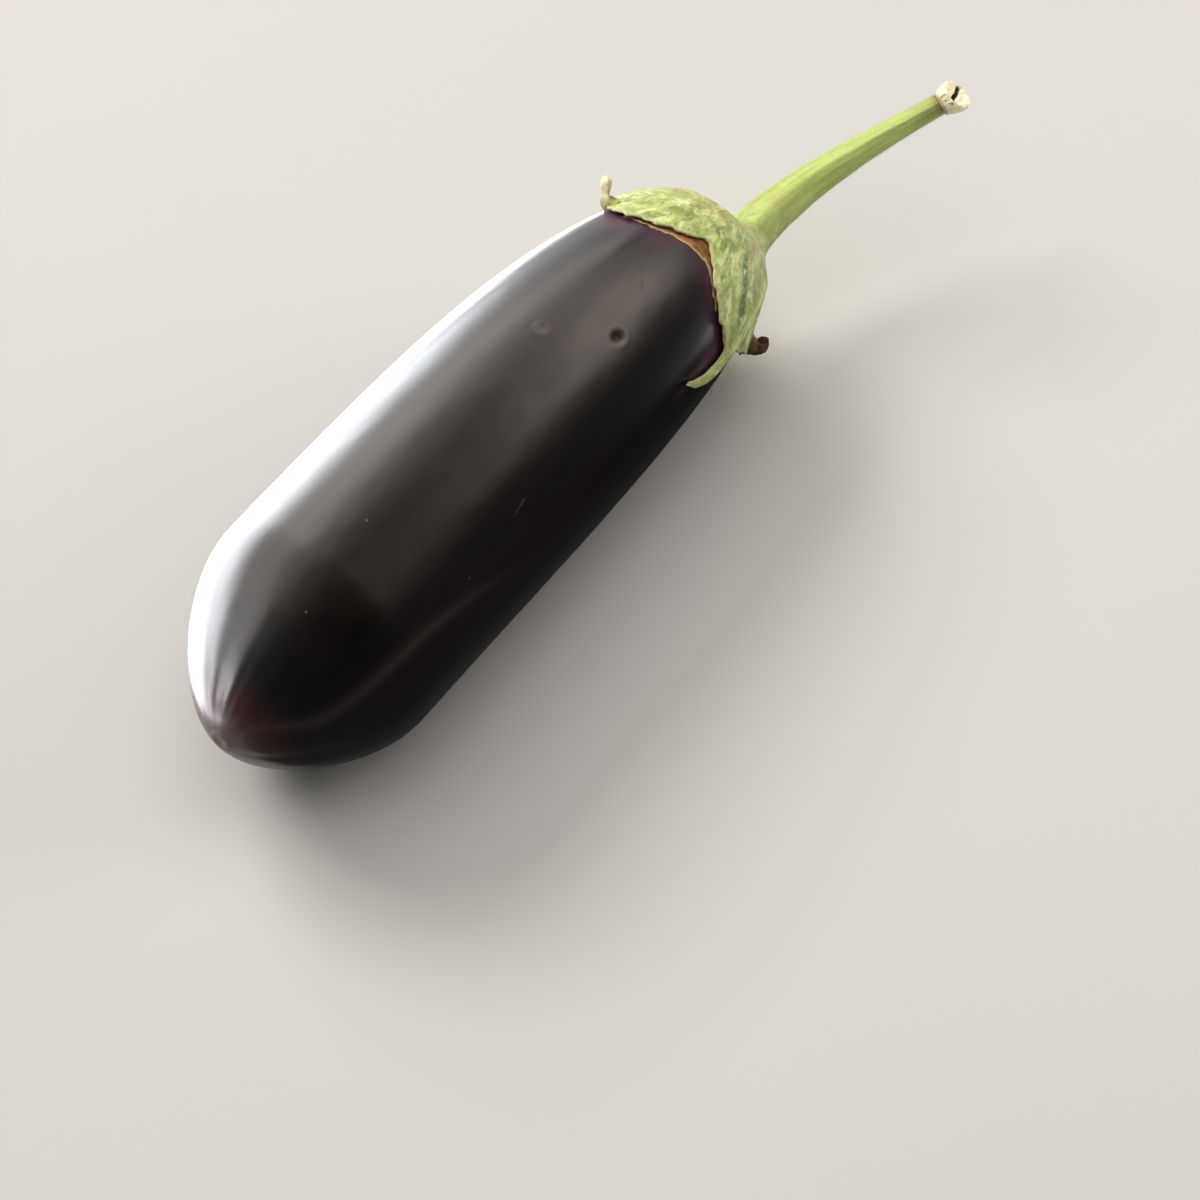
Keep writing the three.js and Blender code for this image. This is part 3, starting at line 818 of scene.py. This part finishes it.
def skin_material():
    s = Shader("aubergine_skin")
    place = s.place()
    along = s.attribute("along")
    bare = s.attribute("bare")
    flow = s.attribute("tip_flow", "Vector")
    streaks = s.noise(s.scaled(place, (12, 90, 90)), 1.0, 5, 0.6, 0.3)
    clouds = s.noise(place, 28.0, 3, 0.5)
    base = s.mix(s.ramp(streaks, 0.35, 0.7), SKIN_BLACK, SKIN_BROWN)
    base = s.mix(s.ramp(clouds, 0.5, 0.75, 0, 0.5), base, SKIN_CLOUD)
    # Painted highlight: a lighter line along the ridge's crest stands in for the light it catches
    base = s.mix(s.ramp(s.attribute("ridge"), 0.15, 0.95, 0, 0.85), base, PAINTED_RIDGE_HIGHLIGHT)
    blossom = s.product(s.ramp(along, 11, 1.0), s.ramp(s.noise(flow, 0.7, 4, 0.6), 0.25, 0.7, 0.55, 1))
    base = s.mix(s.maths("MULTIPLY", blossom, 0.95), base, BLOSSOM_MAROON)
    scar = s.ramp(s.maths("ADD", along, s.maths("MULTIPLY", s.noise(place, 700, 3), 1.2)), 1.15, 0.75)
    base = s.mix(scar, base, SCAR_BROWN)
    purple = s.product(s.ramp(bare, 11, 0.0), s.ramp(s.noise(place, 110.0, 4, 0.6), 0.3, 0.65, 0.35, 1))
    base = s.mix(s.maths("MULTIPLY", purple, 0.85), base, EDGE_PURPLE)
    corky = s.maths("ADD", s.attribute("cork"), s.ramp(s.noise(place, 520.0, 5, 0.65), 0.3, 0.7, -0.45, 0.45))
    cork = s.ramp(corky, -0.1, 0.2)
    crumbs = s.ramp(s.noise(place, 380.0, 5, 0.7), 0.35, 0.65)
    cork_tone = s.mix(crumbs, CORK_DARK, CORK_WARM)
    cork_tone = s.mix(s.ramp(corky, 1.2, 0.5), cork_tone, CORK_PALE)
    base = s.mix(cork, base, cork_tone)
    pit_at = skin_point(PIT[0], PIT[1])
    hole = s.ramp(s.spot(pit_at, (2.1, 2.1, 2.6)), 0.10, 0.60)
    rim = s.maths("MULTIPLY", s.ramp(s.spot(pit_at, (4.4, 4.0, 4.0)), 0.05, 0.45), 0.5)
    base = s.mix(rim, base, PIT_RIM)
    base = s.mix(hole, base, PIT_HOLE)
    dent = s.ramp(s.spot(skin_point(DENT[0], DENT[1]), (3.4, 3.0, 3.0)), 0.1, 0.5)
    base = s.mix(s.maths("MULTIPLY", dent, 0.4), base, DENT_TONE)
    scratches = None
    for at, roll, size, turn in SCRATCHES:
        line = s.ramp(s.spot(skin_point(at, roll), size, turn), 0.0, 0.5)
        scratches = line if scratches is None else s.maths("MAXIMUM", scratches, line)
    broken = s.ramp(s.noise(place, 900.0, 2), 0.4, 0.6)
    scratches = s.maths("MULTIPLY", scratches, broken)
    base = s.mix(s.maths("MULTIPLY", scratches, 0.3), base, SCRATCH_TONE)
    dots = s.node("TexVoronoi", {"Vector": place, "Scale": 115.0, "Randomness": 1.0})
    near = s.ramp(dots.outputs["Distance"], 0.055, 0.03)
    chosen = s.ramp(s.node("SeparateColor", {"Color": dots.outputs["Color"]}).outputs[0], 0.90, 0.91)
    specks = s.maths("MULTIPLY", near, chosen)
    base = s.mix(s.maths("MULTIPLY", specks, 0.45), base, SPECK_TONE)
    rough = s.ramp(s.noise(s.scaled(place, (30, 120, 120)), 1.0, 5, 0.6), 0.3, 0.7, 0.31, 0.38)
    dull = s.maths("MAXIMUM", s.maths("MAXIMUM", scratches, hole), s.maths("MAXIMUM", cork, scar))
    rough = s.maths("ADD", rough, s.maths("MULTIPLY", dull, 0.35))
    fine = s.noise(place, 1500.0, 3, 0.6)
    long = s.noise(s.scaled(place, (60, 420, 420)), 1.0, 4, 0.55)
    near_cork = s.noise(place, 900.0, 4, 0.7)
    normal = s.bump(long, 0.00006, 0.35)
    normal = s.bump(fine, 0.00002, 0.25, normal)
    normal = s.bump(s.maths("MULTIPLY", near_cork, cork), 0.0004, 0.8, normal)
    return s.surface({
        "Base Color": base,
        "Roughness": rough,
        "IOR": 1.5,
        "Coat Weight": 0.25,
        "Coat Roughness": 0.18,
        "Normal": normal,
    })


# Colours of the calyx and the stalk
CALYX_DEEP = (0.180, 0.215, 0.050, 1)
CALYX_LIGHT = (0.420, 0.490, 0.145, 1)
CALYX_PALE = (0.610, 0.680, 0.300, 1)
CALYX_SHADE = (0.220, 0.250, 0.060, 1)
STALK_DEEP = (0.310, 0.400, 0.085, 1)
STALK_LIGHT = (0.430, 0.510, 0.150, 1)
STALK_STREAK = (0.620, 0.670, 0.330, 1)
STALK_MOTTLE = (0.620, 0.700, 0.290, 1)
SCUFF_BROWN = (0.33, 0.215, 0.085, 1)
FLECK_DARK = (0.090, 0.090, 0.030, 1)
DASH_DARK = (0.060, 0.085, 0.012, 1)
EDGE_CREAM = (0.50, 0.46, 0.24, 1)
EDGE_BROWN = (0.20, 0.10, 0.035, 1)
RING_GREEN = (0.22, 0.235, 0.055, 1)
RING_BROWN = (0.26, 0.19, 0.07, 1)
INNER_GREEN = (0.30, 0.33, 0.17, 1)
SHEEN_TINT = (1.0, 1.0, 0.82, 1)


def green_material():
    s = Shader("calyx_green")
    place = s.place()
    flow = s.attribute("flow", "Vector")
    edge = s.attribute("edge")
    up = s.attribute("up")
    roll = s.attribute("roll")
    streaks = s.noise(s.scaled(flow, (0.06, 0.42, 0.42)), 1.0, 5, 0.6, 0.3)
    fine_streaks = s.noise(s.scaled(flow, (0.16, 2.2, 2.2)), 1.0, 4, 0.6)
    mottle = s.noise(place, 240.0, 6, 0.70, 0.5)
    patches = s.noise(s.scaled(flow, (0.22, 0.36, 0.36)), 1.0, 5, 0.65, 0.8)
    on_stalk = s.ramp(up, 0.25, 1.3)
    calyx = s.mix(s.ramp(mottle, 0.34, 0.64), CALYX_DEEP, CALYX_LIGHT)
    calyx = s.mix(s.ramp(patches, 0.47, 0.64, 0, 0.85), calyx, CALYX_PALE)
    calyx = s.mix(s.ramp(patches, 0.46, 0.34, 0, 0.55), calyx, CALYX_SHADE)
    stalk = s.mix(s.ramp(streaks, 0.32, 0.68), STALK_DEEP, STALK_LIGHT)
    stalk = s.mix(s.ramp(fine_streaks, 0.54, 0.78, 0, 0.45), stalk, STALK_STREAK)
    stalk = s.mix(s.ramp(mottle, 0.60, 0.72, 0, 0.4), stalk, STALK_MOTTLE)
    base = s.mix(on_stalk, calyx, stalk)
    # The neck and the collar are scuffed brown here and there
    near_neck = s.maths("MAXIMUM", s.ramp(up, 0.0, 0.02), s.ramp(s.attribute("arc"), 30, 20))
    scuff = s.product(
        near_neck, s.ramp(up, 1.35, 0.9), s.ramp(s.noise(place, 190.0, 5, 0.7, 0.6), 0.46, 0.60))
    base = s.mix(s.maths("MULTIPLY", scuff, 0.62), base, SCUFF_BROWN)
    flecks = s.ramp(s.noise(s.scaled(flow, (0.7, 1.5, 1.5)), 1.0, 5, 0.72, 0.8), 0.58, 0.65)
    base = s.mix(s.product(flecks, s.ramp(up, 1.15, 0.2), 0.8), base, FLECK_DARK)
    # Dark dashes in a row down the lobe that faces the camera's right
    line = s.maths("ADD", s.attribute("arc"), s.product(s.maths("SUBTRACT", roll, 309), 0.52))
    off_line = s.maths("ABSOLUTE", s.maths("SUBTRACT", line, 28))
    row = s.product(s.ramp(off_line, 3.2, 0.8), s.ramp(roll, 283, 288), s.ramp(roll, 313, 308))
    dashes = s.ramp(s.noise(s.scaled(flow, (0.42, 0.85, 0.85)), 1.0, 4, 0.7, 1.0), 0.40, 0.50)
    base = s.mix(s.product(row, dashes, 0.92), base, DASH_DARK)
    # Cream and brown along the thin edge
    worn = s.maths("ADD", edge, s.maths("MULTIPLY", s.noise(place, 320.0, 5, 0.7), -2.0))
    base = s.mix(s.ramp(worn, 0.4, -0.8, 0, 0.55), base, EDGE_CREAM)
    browned = s.product(s.ramp(worn, -0.3, -1.1), s.ramp(mottle, 0.46, 0.62), 0.7)
    base = s.mix(browned, base, EDGE_BROWN)
    # The dried ring at the stalk's end
    base = s.mix(s.ramp(up, 1.80, 1.97, 0, 0.5), base, RING_GREEN)
    base = s.mix(s.ramp(up, 1.965, 1.99), base, RING_BROWN)
    inner = s.ramp(up, -0.4, -0.8)
    base = s.mix(inner, base, INNER_GREEN)
    normal = s.bump(mottle, 0.0005, 0.5)
    normal = s.bump(fine_streaks, 0.0003, 0.4, normal)
    normal = s.bump(s.noise(place, 1500.0, 3, 0.7), 0.0001, 0.5, normal)
    return s.surface({
        "Base Color": base,
        "Roughness": s.ramp(mottle, 0.3, 0.7, 0.45, 0.62),
        "Sheen Weight": 0.14,
        "Sheen Roughness": 0.5,
        "Sheen Tint": SHEEN_TINT,
        "Subsurface Weight": 0.06,
        "Subsurface Radius": (0.8, 1.0, 0.4),
        "Subsurface Scale": 0.0012,
        "Normal": normal,
    })


# Colours of the withered tips, from root to end
CREAM_TONES = [(0.45, 0.44, 0.19, 1), (0.54, 0.47, 0.25, 1), (0.72, 0.66, 0.42, 1)]
BROWN_TONES = [(0.20, 0.16, 0.06, 1), (0.075, 0.028, 0.018, 1), (0.050, 0.018, 0.013, 1)]
WITHERED_GRAIN = (0.075, 0.045, 0.02, 1)


def withered_material(name, root, middle, end):
    s = Shader(name)
    flow = s.attribute("flow", "Vector")
    share = s.attribute("withered")
    grain = s.noise(s.scaled(flow, (0.35, 1.3, 1.3)), 1.0, 5, 0.7, 0.6)
    blotch = s.noise(flow, 0.8, 4, 0.7)
    base = s.mix(s.ramp(share, 0.15, 0.5), root, middle)
    base = s.mix(s.ramp(share, 0.55, 0.9), base, end)
    base = s.mix(s.ramp(grain, 0.50, 0.7, 0, 0.6), base, WITHERED_GRAIN)
    base = s.mix(s.ramp(blotch, 0.55, 0.7, 0, 0.6), base, end)
    return s.surface({
        "Base Color": base,
        "Roughness": s.ramp(grain, 0.3, 0.7, 0.6, 0.85),
        "Normal": s.bump(grain, 0.0004, 0.7),
    })


# Colours of the dried stalk end, and the painted shade in its slit
STRAW = (0.93, 0.88, 0.58, 1)
STRAW_DARK = (0.62, 0.48, 0.25, 1)
STRAW_PALE = (0.95, 0.93, 0.70, 1)
STRAW_STAIN = (0.24, 0.15, 0.06, 1)
STRAW_FOOT = (0.27, 0.19, 0.08, 1)
SLIT_PAINTED_SHADE = (0.020, 0.014, 0.006, 1)


def dried_material():
    s = Shader("dried_stalk_end")
    flow = s.attribute("flow", "Vector")
    hollow = s.attribute("hollow")
    height = s.attribute("height")
    grain = s.noise(s.scaled(flow, (0.3, 1.6, 1.6)), 1.0, 5, 0.7, 0.5)
    blotch = s.noise(s.place(), 420.0, 4, 0.65)
    base = s.mix(s.ramp(grain, 0.48, 0.76), STRAW, STRAW_DARK)
    base = s.mix(s.ramp(blotch, 0.46, 0.62, 0, 0.8), base, STRAW_PALE)
    base = s.mix(s.product(s.ramp(blotch, 0.40, 0.32), 0.7), base, STRAW_STAIN)
    base = s.mix(s.ramp(height, 1.0, 0.3, 0, 0.6), base, STRAW_FOOT)
    # Painted shade: the slit's depths are darkened nearly to black
    base = s.mix(s.ramp(hollow, 0.18, 0.55), base, SLIT_PAINTED_SHADE)
    return s.surface({
        "Base Color": base,
        "Roughness": s.ramp(grain, 0.3, 0.7, 0.62, 0.85),
        "Normal": s.bump(blotch, 0.0004, 0.6, s.bump(grain, 0.0004, 0.6)),
    })


# Colours of the hairs
HAIR_GREEN = (0.50, 0.56, 0.28, 1)
HAIR_PALE = (0.72, 0.74, 0.52, 1)


def hair_material():
    s = Shader("stalk_hair")
    tone = s.noise(s.place(), 500.0, 2)
    return s.surface({"Base Color": s.mix(tone, HAIR_GREEN, HAIR_PALE), "Roughness": 0.5})


# Colours of the floor
FLOOR_SHADE = (0.50, 0.485, 0.46, 1)
FLOOR_PALE = (0.54, 0.525, 0.50, 1)


def floor_material():
    s = Shader("pale_floor")
    cloud = s.noise(s.place(), 2.5, 4, 0.5)
    grain = s.noise(s.place(), 900.0, 3, 0.6)
    return s.surface({
        "Base Color": s.mix(cloud, FLOOR_SHADE, FLOOR_PALE),
        "Roughness": 1.0,
        "Specular IOR Level": 0,
        "Normal": s.bump(grain, 0.0001, 0.2),
    })


def finish_piece(piece, node, material):
    piece.data.materials.append(material)
    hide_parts(node)
    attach(piece, "root")


fruit = make_fruit()
finish_piece(fruit, "fruit", skin_material())
calyx = make_calyx()
finish_piece(calyx, "calyx_and_stalk", green_material())
upper_tip = make_withered_tip("withered_tip_upper", **UPPER_TIP)
finish_piece(upper_tip, "calyx_and_stalk", withered_material("withered_cream", *CREAM_TONES))
side_tip = make_withered_tip("withered_tip_side", **SIDE_TIP)
finish_piece(side_tip, "calyx_and_stalk", withered_material("withered_brown", *BROWN_TONES))
dried_end = make_dried_end()
finish_piece(dried_end, "dried_cut_end", dried_material())
hairs = make_hairs("stalk_hairs", HAIR_COUNT, HAIR_SEED)
finish_piece(hairs, "calyx_and_stalk", hair_material())

# The floor, just under the fruit
FLOOR_REACH = 3000
FLOOR_DROP = 0.0002
floor_corners = FLOOR_REACH * np.array([(-1.0, -1, 0), (1, -1, 0), (1, 1, 0), (-1, 1, 0)])
floor = make_mesh("floor", floor_corners, [(0, 1, 2, 3)])
floor.location.z = -FLOOR_DROP
floor.data.materials.append(floor_material())

# The camera, at the photograph's viewing angle
AIM = Vector((0.4, 0, 32.65)) * MM
AIM_PIXEL = (480.2, 474.9)
CAMERA_TURN = math.radians(52.74)
CAMERA_DOWN = math.radians(55.22)
CAMERA_DISTANCE = 0.9
FOCAL_PIXELS = 3690
PICTURE = 1200
SENSOR_WIDTH = 36

ahead = Vector((
    math.sin(CAMERA_TURN) * math.cos(CAMERA_DOWN),
    math.cos(CAMERA_TURN) * math.cos(CAMERA_DOWN),
    -math.sin(CAMERA_DOWN),
))
right = Vector((math.cos(CAMERA_TURN), -math.sin(CAMERA_TURN), 0))
upward = right.cross(ahead)
to_right = (AIM_PIXEL[0] - PICTURE / 2) / FOCAL_PIXELS
to_below = (AIM_PIXEL[1] - PICTURE / 2) / FOCAL_PIXELS
eye = AIM - CAMERA_DISTANCE * (ahead + to_right * right - to_below * upward)
camera = bpy.data.objects.new("camera", bpy.data.cameras.new("camera"))
bpy.context.scene.collection.objects.link(camera)
camera.data.sensor_width = SENSOR_WIDTH
camera.data.lens = FOCAL_PIXELS / PICTURE * SENSOR_WIDTH
camera.data.clip_start = 0.05
camera.data.clip_end = 20
turned = Matrix((right, upward, -ahead)).transposed().to_4x4()
camera.matrix_world = Matrix.Translation(eye) @ turned
bpy.context.scene.camera = camera


# Lights. The skin reflects a window behind the fruit, a bright card on the floor between the two, a warm
# ceiling and a dark flag on the floor on the camera's side. A pale patch on the flag gives the shoulder
# beside the calyx its glow. The card and these sheets show in reflections alone. A key light from the
# window's side, a broad fill light from above and a side light past the stalk do the lighting.


def area_light(name, at, towards, width, height, radiance, tint, reflected=False):
    """A rectangular light. A reflected one shows in reflections alone, and the others in none."""
    light = bpy.data.lights.new(name, "AREA")
    light.shape = "RECTANGLE"
    light.size = width
    light.size_y = height
    light.energy = radiance * math.pi * width * height
    light.color = tint
    lamp = bpy.data.objects.new(name, light)
    bpy.context.scene.collection.objects.link(lamp)
    lamp.location = at
    lamp.rotation_euler = (Vector(towards) - Vector(at)).to_track_quat("-Z", "Y").to_euler()
    lamp.visible_camera = False
    lamp.visible_diffuse = not reflected
    lamp.visible_glossy = reflected


def glowing_sheet(name, corner, first, second, glow):
    """A sheet seen only in reflections, from a corner and two sides in millimetres."""
    corner, first, second = (np.array(vector, float) for vector in (corner, first, second))
    s = Shader(name)
    place = s.node("SeparateXYZ", {"Vector": s.place()}).outputs
    strength, tint = glow(s, place[0], place[1], place[2])
    corners = np.stack([corner, corner + first, corner + first + second, corner + second])
    sheet = make_mesh(name, corners, [(0, 1, 2, 3)])
    sheet.data.materials.append(s.surface({
        "Base Color": (0, 0, 0, 1),
        "Specular IOR Level": 0,
        "Emission Color": tint,
        "Emission Strength": strength,
    }))
    sheet.visible_camera = False
    sheet.visible_shadow = False
    sheet.visible_diffuse = False


# What each sheet gives off, by the place on it in metres
COOL_DAYLIGHT = (0.92, 0.95, 1.0, 1)
WARM_DAYLIGHT = (1.0, 0.94, 0.89, 1)
CEILING_TINT = (1.0, 0.88, 0.78, 1)
FLAG_TINT = (1.0, 0.9, 0.85, 1)
PATCH_TINT = (0.86, 0.92, 1.0, 1)
PATCH_GLOW = 3.8


def window_glow(s, x, y, z):
    streaks = s.ramp(s.noise(s.scaled(s.place(), (2.5, 1, 11)), 1.0, 3, 0.6), 0.35, 0.65, 0.6, 1.4)
    low = s.product(s.ramp(z, 0.33, 0.0, 0, 6.6), s.ramp(x, 0.37, 0.20, 0.12, 1.9))
    high = s.product(
        s.ramp(z, 0.95, 0.50, 1.6, 6.2), s.ramp(z, 0.25, 0.42, 0.22, 1), s.ramp(x, 0.55, 0.30, 0.5, 1),
        s.ramp(x, 0.08, 0.28, 0.45, 1), streaks)
    tint = s.mix(s.ramp(z, 0.08, 0.26), COOL_DAYLIGHT, WARM_DAYLIGHT)
    return s.maths("ADD", low, high), tint


def ceiling_glow(s, x, y, z):
    lit = s.ramp(s.maths("ADD", x, s.product(y, 0.06)), 0.44, 0.62)
    glow = s.product(
        lit, s.ramp(y, 0.2, -0.2, 2.3, 4.8), s.ramp(x, 0.66, 0.95, 1, 0.5), s.ramp(y, -0.92, -0.48))
    return s.maths("MAXIMUM", glow, s.ramp(y, -0.05, 0.5, 0, 1.8)), CEILING_TINT


def flag_glow(s, x, y, z):
    patch = s.product(
        s.ramp(x, 0.13, 0.20), s.ramp(x, 0.50, 0.32), s.ramp(y, -0.20, -0.11), s.ramp(y, -0.014, -0.04))
    glow = s.maths("ADD", s.ramp(x, -0.15, 0.15, 0.08, 0.03), s.maths("MULTIPLY", patch, PATCH_GLOW))
    return glow, s.mix(patch, FLAG_TINT, PATCH_TINT)


glowing_sheet("window", (-700, 450, 0), (1500, 0, 0), (0, 0, 850), window_glow)
glowing_sheet("ceiling", (-500, -1000, 800), (0, 1450, 0), (1800, 0, 0), ceiling_glow)
glowing_sheet("dark_flag", (-700, -900, 0.4), (1600, 0, 0), (0, 886, 0), flag_glow)
area_light(
    "floor_card", at=(-0.06, 0.22, 0.0006), towards=(-0.06, 0.22, 1), width=0.38, height=0.34,
    radiance=7.5, tint=(0.95, 0.97, 1.0), reflected=True)
area_light(
    "key", at=(0.22, 1.65, 1.43), towards=(0, 0, 0.03), width=1.4, height=1.0,
    radiance=12.5, tint=(1.0, 0.98, 0.95))
area_light(
    "fill", at=(0, 0, 1.5), towards=(0, 0, 0), width=1.8, height=1.8,
    radiance=1.9, tint=(1.0, 0.98, 0.96))
area_light(
    "side", at=(0.80, -0.62, 0.46), towards=(0.06, 0, 0.03), width=0.6, height=0.6,
    radiance=3.6, tint=(1.0, 0.97, 0.92))

WORLD_TINT = (1.0, 0.96, 0.92, 1)
WORLD_STRENGTH = 0.06
world = bpy.data.worlds.new("studio")
bpy.context.scene.world = world
world.use_nodes = True
world.node_tree.nodes["Background"].inputs["Color"].default_value = WORLD_TINT
world.node_tree.nodes["Background"].inputs["Strength"].default_value = WORLD_STRENGTH

bpy.context.scene.view_settings.view_transform = "Standard"
